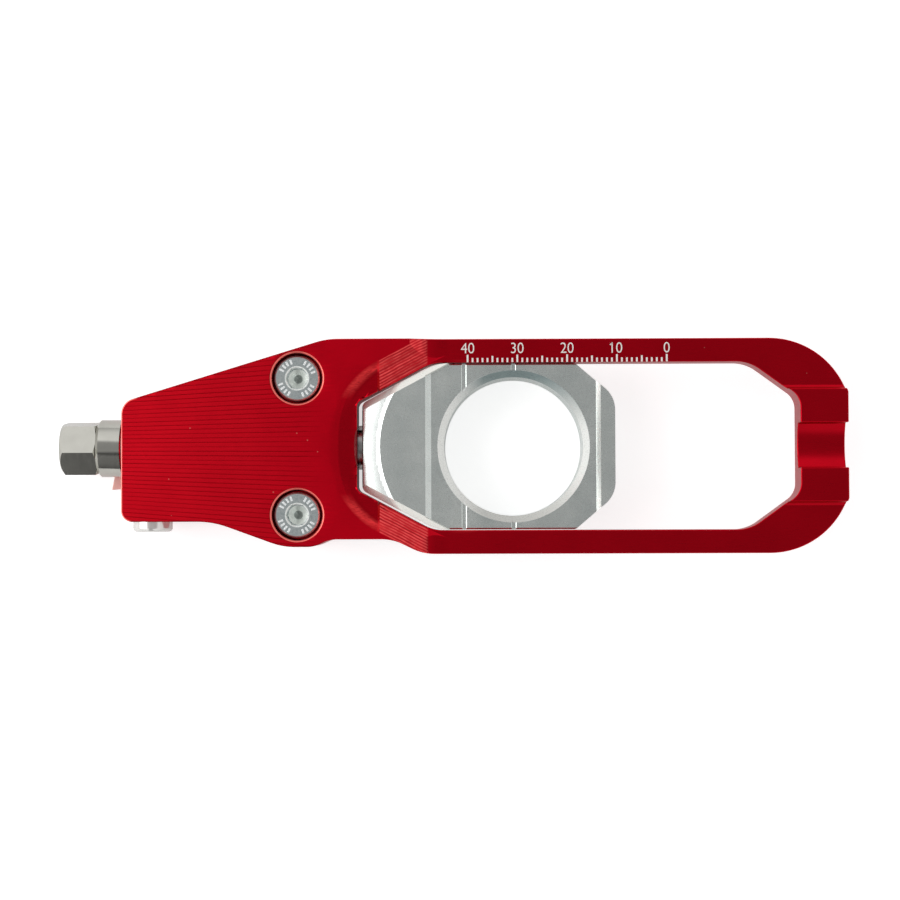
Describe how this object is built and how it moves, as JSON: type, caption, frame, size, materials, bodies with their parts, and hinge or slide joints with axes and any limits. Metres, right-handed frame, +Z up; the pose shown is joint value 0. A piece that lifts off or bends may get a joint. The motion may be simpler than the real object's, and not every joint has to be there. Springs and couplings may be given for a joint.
{
  "type": "motorcycle chain adjuster",
  "caption": "Milled plate with a graduated window, a sliding axle block and a captive hex bolt that draws the block along to tension a chain.",
  "frame": {"origin": "under the middle of the whole adjuster, on the surface that it lies on", "axes": "+X along the plate from the bolt to the far end, +Y across the plate towards the rail with the scale, +Z up to the engraved face"},
  "size_m": [0.1588, 0.0432, 0.016],
  "materials": {
    "red_anodised": "milled and anodised red, satin",
    "bare_aluminium": "finely milled, bare",
    "polished_steel": "turned and polished",
    "zinc_steel": "zinc plated, satin",
    "washer_steel": "turned",
    "clip_steel": "blackened spring steel",
    "nylon": "natural nylon"
  },
  "bodies": {
    "plate": {"body": "red_anodised", "rear_cover": "red_anodised", "fixing_screws": "zinc_steel", "lock_screw": "polished_steel", "lock_pad": "nylon", "outer_washer": "washer_steel", "inner_washer": "washer_steel"},
    "bolt": {"adjuster_bolt": "polished_steel", "retaining_clip": "clip_steel"},
    "block": {"axle_block": "bare_aluminium", "draw_sleeve": "washer_steel", "sleeve_pin": "washer_steel"}
  },
  "joints": [
    {"name": "bolt_turn", "type": "hinge", "parent": "plate", "child": "bolt", "pos_m": [-0.06605, 0, 0.007], "axis": [1, 0, 0], "range_deg": [-11089, 253]},
    {"name": "block_slide", "type": "slide", "parent": "plate", "child": "block", "axis": [1, 0, 0], "range_m": [-0.0007, 0.0308]}
  ],
  "couplings": [
    {"joint": "bolt_turn", "follows": "block_slide", "rad_per_m": -6283.2}
  ]
}
